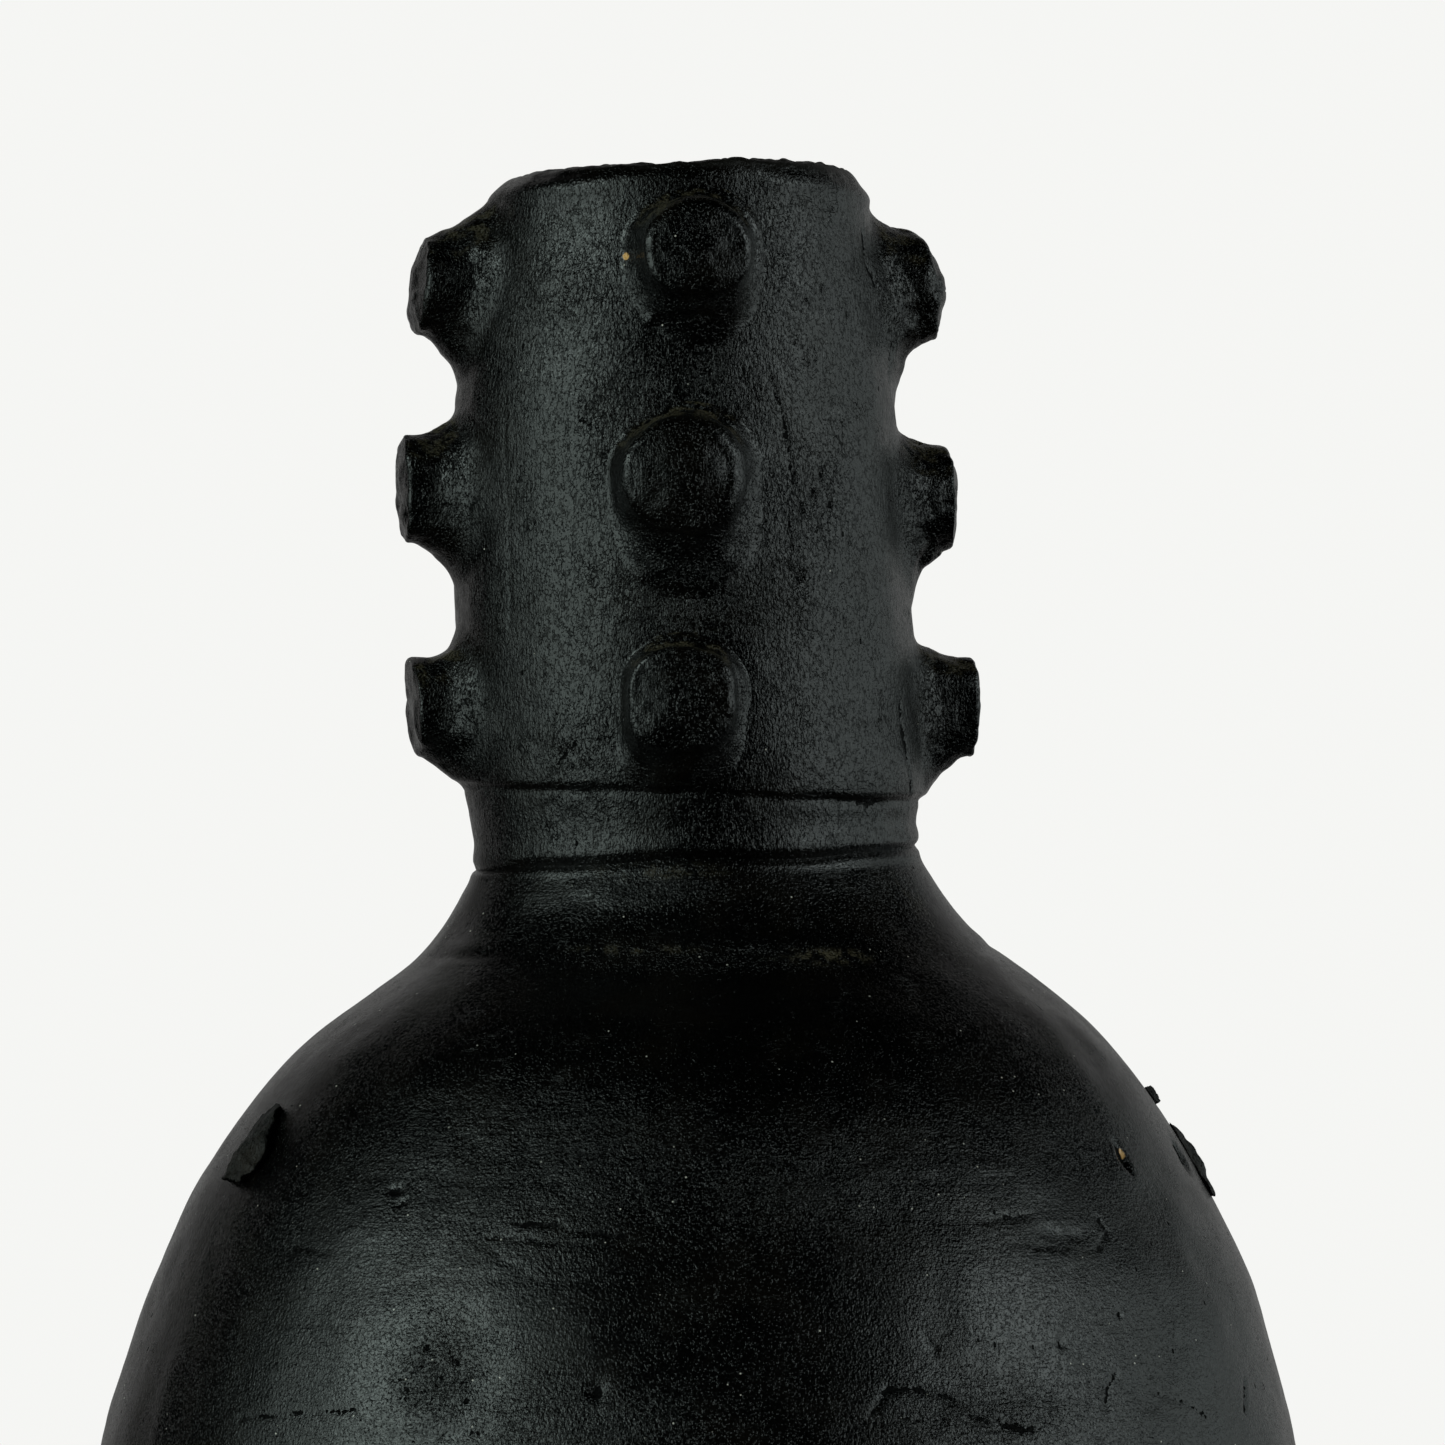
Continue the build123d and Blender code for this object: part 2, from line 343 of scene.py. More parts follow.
def marks(theta, height, radius, points):
    """Scratches, pits and swellings, as a height above or below the skin."""
    wander = wandering(points)
    out = -crack_lines(theta, height, radius, points)[1]
    for pit in PITS:
        out -= oval(theta, height, radius, pit, 0.5 * wander)
    for azimuth, middle, half_width, half_height, rise in SWELLS:
        across = angle_from(theta, azimuth) * radius / half_width
        out += rise * np.exp(-(across**2) - ((height - middle) / half_height) ** 2)
    across = angle_from(theta, HOLLOW_AZIMUTH) * radius
    above = height - HOLLOW_TOP + 0.055 * across**2 + 0.5 * wander
    inside = np.clip(1 - (across / 8.5) ** 2, 0, 1)
    out -= inside * 1.9 * smooth_step(-above, -0.3, 1.1) * np.exp(np.minimum(above, 0) / 3.2)
    out += inside * 0.6 * bell(above, 1.0, 0.8)
    return out


def relief(theta, height, radius):
    """How far the skin stands out from the smooth outline, in millimetres."""
    points = placed(radius, theta, height + 0 * theta)
    neck = smooth_step(height, neck_seam - 2, neck_seam + 6)
    out = 0.40 * noise(points, 62, 1) + 0.22 * noise(points, 27, 2) + 0.13 * noise(points, 11, 3)
    coarse = spots(theta, height, ROUGH_SPOTS)
    out += (0.02 + 0.04 * neck + 0.09 * coarse) * noise(points, (5.0, 5.0, 2.6), 4)
    out += (0.01 + 0.02 * neck + 0.06 * coarse) * noise(points, (2.6, 2.6, 1.7), 8)
    out += neck * (0.45 + 0.18 * noise(points, (11, 11, 46), 5))
    out += (1 - neck) * 0.10 * noise(points, (60, 60, 9), 6)
    out += marks(theta, height, radius, points)

    # Seam under the collar: a dark groove with a slightly swollen edge above it
    above = height - seam_height(theta)
    out += -0.9 * bell(above, 0, 0.8) + 0.35 * bell(above, 2.4, 1.8) - 0.25 * bell(above, -2.5, 2.0)

    # Ledge: the tube overhangs the collar, most at the left and right of the front
    above = height - ledge_height(theta)
    strength = 0.25 + 0.75 * np.abs(np.cos(theta)) ** 0.7
    swell = 0.5 * smooth_step(above, -0.5, 0.6) * (1 - smooth_step(above, 2, 18))
    out += strength * (swell - 0.3 * bell(above, -0.8, 0.9))

    # Crease low on the shoulder cone, worn away in places
    crease = height - (cone_foot + 0.8 * np.sin(3 * theta))
    broken = smooth_step(noise(points, 16, 7), -0.5, 0.4)
    out += broken * (-0.28 * bell(crease, 0, 0.9) + 0.16 * bell(crease, 2.0, 1.4))
    return out


def placed(radius, angle, height, middle=0.0):
    """Points at a radius, angle and height round a middle."""
    return np.stack([middle + radius * np.cos(angle), radius * np.sin(angle), height], -1)


def skin_points(theta, height, lift=0.0):
    """Points on the jar's skin, or lifted off it along its slope's normal."""
    radius = outer_radius(height)
    slope = np.interp(height, outer_heights, outer_slope)
    tilt = 1 / np.sqrt(1 + slope**2)
    out = relief(theta, height, radius) + lift
    wide = radius + out * tilt
    return placed(wide, theta, height - out * slope * tilt, centre_x(height))


# Spots of dust and ochre grit: (azimuth, height, half width, half height, strength)
DUST_SPOTS = [
    (-66, 238.2, 9, 1.3, 1),
    (-104, 239.6, 12, 0.8, 0.5),
    (-100, 255, 12, 1.8, 0.35),
    (-84, 302.5, 7, 0.8, 0.8),
    (-160, 387, 8, 4, 0.35),
    (-30, 250, 5, 5, 0.2),
]
OCHRE_SPOTS = [
    (-104, 378.9, 0.8, 0.7, 1),
    (-31, 198.6, 0.7, 1.2, 0.8),
]

# Places where the skin was left rough, crumbly and wrinkled
ROUGH_SPOTS = [
    (-108, 200, 34, 14, 1),
    (-76, 196, 34, 12, 0.8),
    (-103, 348, 9, 14, 0.9),
    (-78, 352, 7, 10, 0.6),
    (-53, 331, 8, 12, 1),
    (-60, 312, 5, 10, 0.8),
    (-92, 312, 16, 8, 1),
    (-118, 280, 8, 9, 0.6),
    (-104, 252, 14, 4, 0.9),
    (-90, 238, 28, 3, 0.8),
    (-116, 158, 9, 9, 0.9),
    (-62, 150, 24, 6, 0.7),
    (-100, 150, 22, 8, 0.7),
    (-120, 372, 14, 10, 0.5),
    (-60, 382, 12, 9, 0.5),
    (20, 330, 14, 20, 0.35),
    (100, 210, 40, 14, 0.9),
    (120, 340, 12, 30, 0.4),
    (60, 150, 30, 16, 0.7),
]


def spots(theta, height, places):
    """Soft oval spots on the skin, from 0 to 1."""
    radius = outer_radius(height)
    out = 0 * height
    for place in places:
        out = np.maximum(out, oval(theta, height, radius, place))
    return out


def speckle(points):
    """Noise that breaks up the dust."""
    return noise(points, 2.6, 51) + 0.5 * noise(points, 1.2, 52)


def surface_layers(points):
    """Dust, ochre grit, cracks with their painted shade, rough patches and wear at the points of a mesh, each
    from 0 to 1.
    """
    height = points[:, 2]
    theta = np.arctan2(points[:, 1], points[:, 0] - centre_x(height))
    radius = outer_radius(height)
    on_skin = placed(radius, theta, height)
    outside = smooth_step(np.hypot(points[:, 0] - centre_x(height), points[:, 1]) - radius, -3.5, -2.5)
    patchy = smooth_step(speckle(points), -0.35, 0.45)
    # Cracks and small pits go into the crack layer, which the material darkens in colour and specular as
    # painted shade
    pits = [(*pit[:4], 0.95) for pit in PITS if pit[2] < 3]
    cracks = np.maximum(crack_lines(theta, height, radius, on_skin)[0], spots(theta, height, pits))
    return {
        "dust": spots(theta, height, DUST_SPOTS) * patchy,
        "ochre": spots(theta, height, OCHRE_SPOTS),
        "crack": cracks * outside,
        "coarse": spots(theta, height, ROUGH_SPOTS),
        "worn": smooth_step(height, top_height - 3.0, top_height - 0.6),
    }


# ---------------- meshes

def make_piece(name, points, quads, triangles=(), own_layers=None):
    """A smooth-shaded mesh object from points in millimetres, with surface layers of its own if given."""
    mesh = bpy.data.meshes.new(name)
    corners = np.concatenate([np.asarray(quads).ravel(), np.asarray(triangles, int).ravel()]).astype(np.int32)
    sizes = np.concatenate([np.full(len(quads), 4), np.full(len(triangles), 3)])
    mesh.vertices.add(len(points))
    mesh.vertices.foreach_set("co", (np.asarray(points) * MM).astype(np.float32).ravel())
    mesh.loops.add(len(corners))
    mesh.loops.foreach_set("vertex_index", corners)
    mesh.polygons.add(len(sizes))
    mesh.polygons.foreach_set("loop_start", np.concatenate([[0], np.cumsum(sizes)[:-1]]).astype(np.int32))
    mesh.update(calc_edges=True)
    mesh.validate()
    mesh.shade_smooth()
    mesh.set_sharp_from_angle(angle=radians(60))
    layers = surface_layers(np.asarray(points))
    layers.update(own_layers or {})
    for layer, values in layers.items():
        mesh.attributes.new(layer, "FLOAT", "POINT").data.foreach_set("value", values.astype(np.float32))
    piece = bpy.data.objects.new(name, mesh)
    bpy.context.scene.collection.objects.link(piece)
    return piece


def grid_quads(rows, columns, close_rows):
    """Corners of a grid that closes on itself round the columns, and if asked along the rows."""
    row = np.arange(rows if close_rows else rows - 1)[:, None]
    column = np.arange(columns)[None, :]
    up, round_ = (row + 1) % rows, (column + 1) % columns
    corners = [row * columns + column, row * columns + round_, up * columns + round_, up * columns + column]
    return np.stack(corners, -1).reshape(-1, 4)


def round_angles(front, back):
    """Azimuths all the way round, finer over the front 200 degrees than over the back."""
    edge = radians(100)
    near = np.linspace(-edge, edge, front, endpoint=False)
    far = np.linspace(edge, 2 * pi - edge, back, endpoint=False)
    return np.concatenate([near, far]) - pi / 2


BODY_ANGLES = round_angles(620, 210)
NECK_ANGLES = round_angles(350, 130)


def outer_rows(theta, low, high, spacing):
    """Skin points between two joint heights, which may wander round the jar."""
    low_run, high_run = np.interp([low(theta).mean(), high(theta).mean()], outer_heights, outer_run)
    count = max(int((high_run - low_run) / spacing), 3)
    level = np.interp(np.linspace(low_run, high_run, count + 1), outer_run, outer_heights)
    share = (level - level[0]) / (level[-1] - level[0])
    height = low(theta)[None, :] + share[:, None] * (high(theta) - low(theta))[None, :]
    return skin_points(np.broadcast_to(theta, height.shape), height)


def inner_rows(theta, low, high, spacing):
    """Points on the inside of the wall, from high to low."""
    count = max(int((high - low) / spacing), 2)
    height = np.linspace(high, low, count + 1)[:, None] + 0 * theta[None, :]
    angle = np.broadcast_to(theta, height.shape)
    radius = np.interp(height, inner_heights, inner_radii)
    points = placed(radius, angle, height)
    wide = radius + 0.5 * noise(points, 22, 31) + 0.25 * noise(points, (30, 30, 7), 32)
    return placed(wide, angle, height, centre_x(height))


def bridge(first, last, count):
    """Rows in between two rows, along a joint face."""
    share = np.linspace(0, 1, count + 2)[1:-1, None, None]
    return first[None] * (1 - share) + last[None] * share


def ring_piece(name, theta, parts):
    """A closed ring from its rows of points, in order round its section."""
    rows = np.concatenate(parts)
    return make_piece(name, rows.reshape(-1, 3), grid_quads(len(rows), len(theta), True))


def capped_piece(name, grid, own_layers=None):
    """A closed piece from rows of points that run from the middle of its top to the middle of its back."""
    rows, count = grid.shape[:2]
    points = grid.reshape(-1, 3)
    first, last = len(points), len(points) + 1
    points = np.vstack([points, grid[0].mean(0), grid[-1].mean(0)])
    index = np.arange(count)
    after = (index + 1) % count
    final = (rows - 1) * count
    fan_first = np.stack([index, after, np.full(count, first)], -1)
    fan_last = np.stack([final + after, final + index, np.full(count, last)], -1)
    quads = grid_quads(rows, count, False)[:, ::-1]
    return make_piece(name, points, quads, np.vstack([fan_first, fan_last]), own_layers)


def flat(height):
    """A joint height that stays level."""
    return lambda theta: height + 0 * theta


# How much each joint on the body waves round the jar, and its seed; the rest of the joints on the outside
JOINT_WAVES = {
    "lower_bowl": (1.5, 1.0), "lower_belly_coil": (1.5, 2.0), "middle_belly_coil": (1.2, 3.0),
    "upper_belly_coil": (1.5, 4.0), "lower_shoulder_coil": (1.2, 5.0), "upper_shoulder_coil": (0.6, 6.0),
}
JOINTS = {name: wavy(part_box(name)[1].z / MM, *wave) for name, wave in JOINT_WAVES.items()}
JOINTS["base_disc"] = flat(4.0)
JOINTS["shoulder_cone"] = seam_height
JOINTS["neck_collar"] = ledge_height
JOINTS["neck_tube"] = wavy(neck_seam + 130.5, 0.4, 7.0)
JOINT_DROP = 5.0
LIP_INNER_ROUND = 1.6
LIP_CURVE = 1.3
SPACING = {
    "lower_bowl": 1.5, "lower_belly_coil": 1.2, "middle_belly_coil": 0.8, "upper_belly_coil": 0.7,
    "lower_shoulder_coil": 0.7, "upper_shoulder_coil": 0.7, "shoulder_cone": 0.6, "neck_collar": 0.5,
    "neck_tube": 0.72,
}
INNER_SPACING = 5.0

skin = []


def inner_height(name):
    """Height of a joint's inner edge, below its outer edge."""
    return float(JOINTS[name](np.zeros(1) - pi / 2)[0]) - JOINT_DROP


for below, name in zip(WALL_COILS, WALL_COILS[1:-1]):
    theta = NECK_ANGLES if name in ("neck_collar", "neck_tube") else BODY_ANGLES
    outside = outer_rows(theta, JOINTS[below], JOINTS[name], SPACING[name])
    bottom = max(inner_height(below), floor_height + 0.5)
    inside = inner_rows(theta, bottom, inner_height(name), INNER_SPACING)
    parts = [outside, bridge(outside[-1], inside[0], 2), inside, bridge(inside[-1], outside[0], 2)]
    skin.append(ring_piece(name + "_skin", theta, parts))
    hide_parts(name)


def base_piece():
    """The foot: a disc with a rounded edge, flat underneath and on the floor inside."""
    theta = BODY_ANGLES
    edge = outer_rows(theta, flat(0.6), JOINTS["base_disc"], 0.8)
    foot = outer_radii[0]
    under = [placed(foot * share, theta, 0 * theta) for share in (0.02, 0.3, 0.6, 0.85, 0.97)]
    inside_edge = placed(foot - 5, theta, floor_height + 0 * theta)
    top = [placed(foot * share, theta, floor_height + 0 * theta) for share in (0.7, 0.35, 0.02)]
    wall = bridge(edge[-1], inside_edge, 2)
    rows = np.concatenate([np.array(under), edge, wall, inside_edge[None], np.array(top)])
    piece = capped_piece("base_disc_skin", rows[::-1])
    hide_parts("base_disc")
    return piece


skin.append(base_piece())


def rim_piece():
    """The rim coil: its outside, the rounded lip with a crumbly top, and the bore of the mouth."""
    theta = NECK_ANGLES
    outside = outer_rows(theta, JOINTS["neck_tube"], flat(lip_start), 0.55)
    start_radius = float(np.interp(lip_start, outer_heights, outer_radii))
    leftness = np.clip(0.35 - np.cos(theta), 0, None)
    depth = LIP_DEPTH - 1.2 * leftness
    frontness = np.clip(-np.sin(theta), 0, 1) ** 2
    outer_round = 5.0 + 1.8 * smooth_step(leftness, 0, 1.2) - 1.6 * frontness
    curve = LIP_CURVE - 0.75 * frontness
    inner_edge = mouth_radius + LIP_INNER_ROUND
    turn = np.linspace(0, pi / 2, 22)[1:, None]
    curve_in, curve_up = np.cos(turn) ** curve, np.sin(turn) ** curve
    outer_r = start_radius - outer_round * (1 - curve_in)
    outer_h = lip_start + depth * curve_up
    across = np.linspace(0, 1, 8)[1:, None]
    flat_r = (start_radius - outer_round) * (1 - across) + inner_edge * across
    flat_h = lip_start + depth + 0 * across
    down = np.linspace(0, pi / 2, 6)[1:, None]
    inner_r = inner_edge - LIP_INNER_ROUND * np.sin(down) + 0 * theta
    inner_h = lip_start + depth - LIP_INNER_ROUND * (1 - np.cos(down))
    radius = np.concatenate([outer_r, flat_r, inner_r])
    height = np.concatenate([outer_h, flat_h, inner_h])
    lean_out = np.concatenate([np.cos(turn) + 0 * theta, 0 * flat_r, -np.sin(down) + 0 * theta])
    lean_up = np.sqrt(np.clip(1 - lean_out**2, 0, 1))

    angle = np.broadcast_to(theta, radius.shape)
    points = placed(radius, angle, height)
    row = np.arange(len(radius))[:, None]
    leave = smooth_step(row, 0, 9)
    worn = smooth_step(row, 12, 21)
    start_out = relief(theta, lip_start + 0 * theta, start_radius + 0 * theta)[None, :]
    out = (1 - leave) * start_out + leave * (0.3 * noise(points, 12, 41) + 0.12 * noise(points, 4, 44))
    out += worn * (0.24 * noise(points, 3.0, 42) + 0.20 * noise(points, 1.5, 43) - 0.1)
    wide = radius + out * lean_out
    lip = placed(wide, angle, height + out * lean_up, centre_x(height))
    inside = inner_rows(theta, inner_height("neck_tube"), lip_start - 1, 2.5)
    parts = [outside, lip, inside, bridge(inside[-1], outside[0], 2)]
    piece = ring_piece("rim_coil_skin", theta, parts)
    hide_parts("rim_coil")
    return piece


skin.append(rim_piece())


# ---------------- knobs

def skin_distance(axis_height, azimuth, across, up):
    """Distance along a knob's axis from the neck's middle to the skin, at offsets across and up."""
    height = np.minimum(axis_height + up, lip_start)
    shift = centre_x(np.array([axis_height]))[0] - centre_x(height)
    side = across - shift * sin(azimuth)
    radius = outer_radius(height)
    theta = azimuth + np.arcsin(np.clip(side / radius, -0.95, 0.95))
    radius = radius + relief(theta, height, radius)
    return np.sqrt(np.maximum(radius**2 - side**2, 1.0)) - shift * cos(azimuth)


# Each knob's own look, in millimetres and degrees. wide and tall are half the face, and square is 2 for an
# ellipse and more for a boxier face. pitch leans the face's top outwards, dome and edge round it, push moves
# it outwards and rise upwards. The skirts above, beside and below end in a fillet that is steep (2 or more)
# or slack. lumps is how uneven it is, and smear is a ridge of clay round the face: how far out, the angle of
# its middle, half its sweep and its height.
KNOB_LOOK = {
    "wide": 10.4, "tall": 10.2, "square": 2.2, "pitch": 0, "dome": 0.9, "edge": 1, "push": 0, "rise": 0,
    "above": 5, "beside": 12, "below": 10.5, "steep_above": 2.4, "steep_beside": 2.9, "steep_below": 1.5,
    "lumps": 1, "smear": (13, 0, 1, 0),
}
FRONT_LOOK = {"beside": 4, "above": 3, "steep_beside": 2.6, "steep_below": 1.2, "edge": 2.4, "lumps": 0.8}
KNOB_LOOKS = {
    "front_top": {
        **FRONT_LOOK, "wide": 11.2, "tall": 9.8, "below": 10, "dome": 1, "pitch": -5,
        "smear": (13.6, 20, 60, 0.7),
    },
    "front_middle": {
        **FRONT_LOOK, "wide": 12.6, "tall": 11.8, "square": 2.1, "edge": 3, "dome": 2.2, "below": 13,
        "smear": (14.6, 62, 34, 0.7),
    },
    "front_bottom": {
        **FRONT_LOOK, "wide": 10.6, "tall": 10.8, "square": 2.5, "edge": 1.9, "dome": 1.1, "below": 8,
        "beside": 3, "smear": (12.8, 58, 72, 0.8),
    },
    "left_top": {
        "lumps": 1.2, "pitch": -5, "dome": 1.8, "above": 8, "steep_above": 1.3, "below": 11,
        "steep_below": 1.4,
    },
    "left_middle": {"lumps": 1.2, "tall": 11.4, "rise": 0.9, "above": 7, "steep_below": 1.7},
    "left_bottom": {
        "pitch": 5.7, "dome": 0.3, "push": -1.3, "rise": 1.9, "tall": 10, "above": 9, "below": 7.5,
        "steep_below": 1.2, "steep_above": 2.3,
    },
    "right_top": {
        "pitch": -8, "dome": 2.6, "tall": 11.2, "rise": -0.7, "above": 6, "steep_above": 2.2, "below": 14.5,
        "edge": 1.6, "lumps": 1.5,
    },
    "right_middle": {
        "pitch": -3.5, "dome": 1.7, "tall": 10.5, "rise": -0.6, "above": 6, "below": 13.5,
        "steep_below": 1.35, "lumps": 1.5,
    },
    "right_bottom": {
        "tall": 10.6, "dome": 0.2, "push": 0.7, "rise": -1.5, "above": 5.5, "steep_above": 2.6,
        "below": 9.5, "steep_below": 1.4, "square": 2.6, "lumps": 1.3,
    },
    "back_top": {"pitch": -3, "dome": 1.4, "above": 7, "steep_above": 1.8, "below": 11, "lumps": 1.3},
    "back_middle": {"wide": 11.2, "tall": 10.8, "dome": 1.4, "edge": 1.8},
    "back_bottom": {"square": 2.8, "dome": 0.6, "pitch": 2, "below": 8.5},
}
KNOB_COLUMNS = 160
FACE_ROWS, EDGE_ROWS, FLANK_ROWS = 18, 8, 42
FLANK_START = FACE_ROWS + EDGE_ROWS - 1
FADE_ROWS = 14
BURIED_STEPS = ((0.12, 0.5), (0.1, 1.6), (-6.0, 2.5))


def knob_frame(node):
    """Azimuth, height and reach of a CAD knob's face, from its mesh."""
    points = np.array([vertex.co for vertex in frame["nodes"][node].data.vertices]) / MM
    low, high = points.min(0), points.max(0)
    axis_x = axis_point((low[2] + high[2]) / 2).x
    azimuth = atan2(low[1] + high[1], low[0] + high[0] - 2 * axis_x)
    for _ in range(3):
        out = (points[:, 0] - axis_x) * cos(azimuth) + points[:, 1] * sin(azimuth)
        face = points[out > out.max() - 1.2]
        low, high = face.min(0), face.max(0)
        azimuth = atan2(low[1] + high[1], low[0] + high[0] - 2 * axis_x)
    return azimuth, (low[2] + high[2]) / 2, out.max()


def around(look, key, phi, power):
    """A value of a knob's look round its face, blended from beside it to above and below it."""
    beside = look[key + "beside"]
    above = (look[key + "above"] - beside) * np.clip(np.sin(phi), 0, 1) ** power
    return beside + above + (look[key + "below"] - beside) * np.clip(-np.sin(phi), 0, 1) ** power


def knob_piece(place, seed):
    """A knob: a domed, slightly uneven face, a flank and a skirt smoothed onto the neck."""
    look = {**KNOB_LOOK, **KNOB_LOOKS[place]}
    azimuth, axis_height, reach = knob_frame("knob_" + place)
    reach += look["push"]
    axis_height += look["rise"]
    phi = np.linspace(0, 2 * pi, KNOB_COLUMNS, endpoint=False)
    c, s = np.cos(phi), np.sin(phi)
    power = look["square"]
    face = 1 / ((np.abs(c) / look["wide"]) ** power + (np.abs(s) / look["tall"]) ** power) ** (1 / power)
    uneven = 0.025 * np.sin(2 * phi + seed) + 0.02 * np.sin(3 * phi + 2 * seed) + 0.012 * np.sin(5 * phi)
    face = face * (1 + uneven)
    skirt = around(look, "", phi, 1.5)
    skirt *= 1 + np.abs(c) * (0.22 * np.sin(phi + 1.7 * seed) + 0.14 * np.sin(3 * phi + seed))
    steep = around(look, "steep_", phi, 2)
    edge = look["edge"] * (1 + 0.28 * np.cos(phi + seed) + 0.14 * np.sin(2 * phi + seed))
    lean = tan(radians(look["pitch"]))

    rows = []
    for share in np.linspace(0.05, 1.0, FACE_ROWS):
        rho = (face - edge) * share
        rows.append((rho * c, rho * s, reach + lean * rho * s - look["dome"] * share**2))
    for turn in np.linspace(0, pi / 2, EDGE_ROWS)[1:]:
        rho = face - edge + edge * sin(turn)
        rows.append((rho * c, rho * s, reach + lean * rho * s - look["dome"] - edge * (1 - cos(turn))))
    flank_top = rows[-1][2]
    for turn in np.linspace(0, pi / 2, FLANK_ROWS)[1:]:
        slide, drop = cos(turn) ** (2 / steep), sin(turn) ** (2 / steep)
        rho = face + skirt * (1 - slide)
        wall = skin_distance(axis_height, azimuth, rho * c, rho * s)
        rows.append((rho * c, rho * s, wall * drop + flank_top * (1 - drop) - 0.06 * drop**8))
    for extra, sink in BURIED_STEPS:
        rho = face + skirt + extra
        rows.append((rho * c, rho * s, skin_distance(axis_height, azimuth, rho * c, rho * s) - sink))
    rows.append((0.1 * c, 0.1 * s, 0 * c + rows[-1][2].mean()))

    origin = np.array([centre_x(np.array([axis_height]))[0], 0, axis_height])
    outward = np.array([cos(azimuth), sin(azimuth), 0])
    tangent = np.array([-sin(azimuth), cos(azimuth), 0])
    upright = np.array([0, 0, 1.0])
    grid = np.array([
        origin + out[:, None] * outward + across[:, None] * tangent + up[:, None] * upright
        for across, up, out in rows
    ])
    far, middle, sweep, rise = look["smear"]
    ridge = np.array([bell(np.hypot(across, up), far, 0.8) for across, up, _ in rows[:-3]] + [0 * c] * 3)
    turn = np.abs((phi - radians(middle) + pi) % (2 * pi) - pi)
    ridge = ridge * rise * (1 - smooth_step(turn, radians(0.5 * sweep), radians(sweep)))
    grid += ridge[..., None] * outward
    grid = roughened(grid, seed, look["lumps"], len(rows) - FADE_ROWS)
    piece = capped_piece("knob_" + place + "_skin", grid, knob_layers(grid))
    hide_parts("knob_" + place)
    return piece


def knob_layers(grid):
    """A knob's own surface layers: dust on what faces up, and a rough flank."""
    normal = grid_normals(grid)
    row = np.arange(len(grid))[:, None] - FLANK_START
    flank = smooth_step(row, -5, 2) * (1 - smooth_step(row, 23, 35))
    patchy = smooth_step(speckle(grid), -0.6, 0.3)
    dust = 0.9 * smooth_step(normal[..., 2], 0.35, 0.8) * smooth_step(row, -5, 1) * patchy
    rough = flank * (0.7 + 0.3 * noise(grid, 5.0, 53))
    return {
        "dust": np.concatenate([dust.ravel(), [0.0, 0.0]]),
        "coarse": np.concatenate([np.clip(rough, 0, 1).ravel(), [0.0, 0.0]]),
    }


def grid_normals(grid):
    """Directions straight out of a knob's grid."""
    along = np.gradient(grid, axis=0)
    round_ = np.roll(grid, -1, axis=1) - np.roll(grid, 1, axis=1)
    normal = np.cross(along, round_)
    return normal / np.maximum(np.linalg.norm(normal, axis=-1, keepdims=True), 1e-6)


def roughened(grid, seed, strength, fade_row):
    """A knob's grid with its own lumps, which fade out where the skirt meets the wall."""
    normal = grid_normals(grid)
    lumps = 0.42 * noise(grid, 7.5, seed) + 0.14 * noise(grid, 3.0, seed + 40)
    lumps += 0.04 * noise(grid, 1.4, seed + 80)
    crack = 1 - np.abs(noise(grid, 7.0, seed + 120)) * 9
    lumps = lumps - 0.35 * max(strength - 1, 0) * np.clip(crack, 0, 1)
    fade = 1 - smooth_step(np.arange(len(grid))[:, None], fade_row - FADE_ROWS, fade_row)
    return grid + normal * (strength * lumps * fade)[..., None]


for number, place in enumerate(KNOB_LOOKS):
    skin.append(knob_piece(place, 11 + number))


# ---------------- chips

# Look of each chip: half length, half width, thickness, turn of its long side from level, and how
# much its edge curls off the skin
CHIP_LOOKS = {
    "left_scab": (9.8, 7.8, 2.4, 130, 0),
    "right_flake": (8.8, 2.4, 1.1, 84, 0.9),
    "right_crumb": (2.1, 1.6, 1.7, 70, 0.2),
}


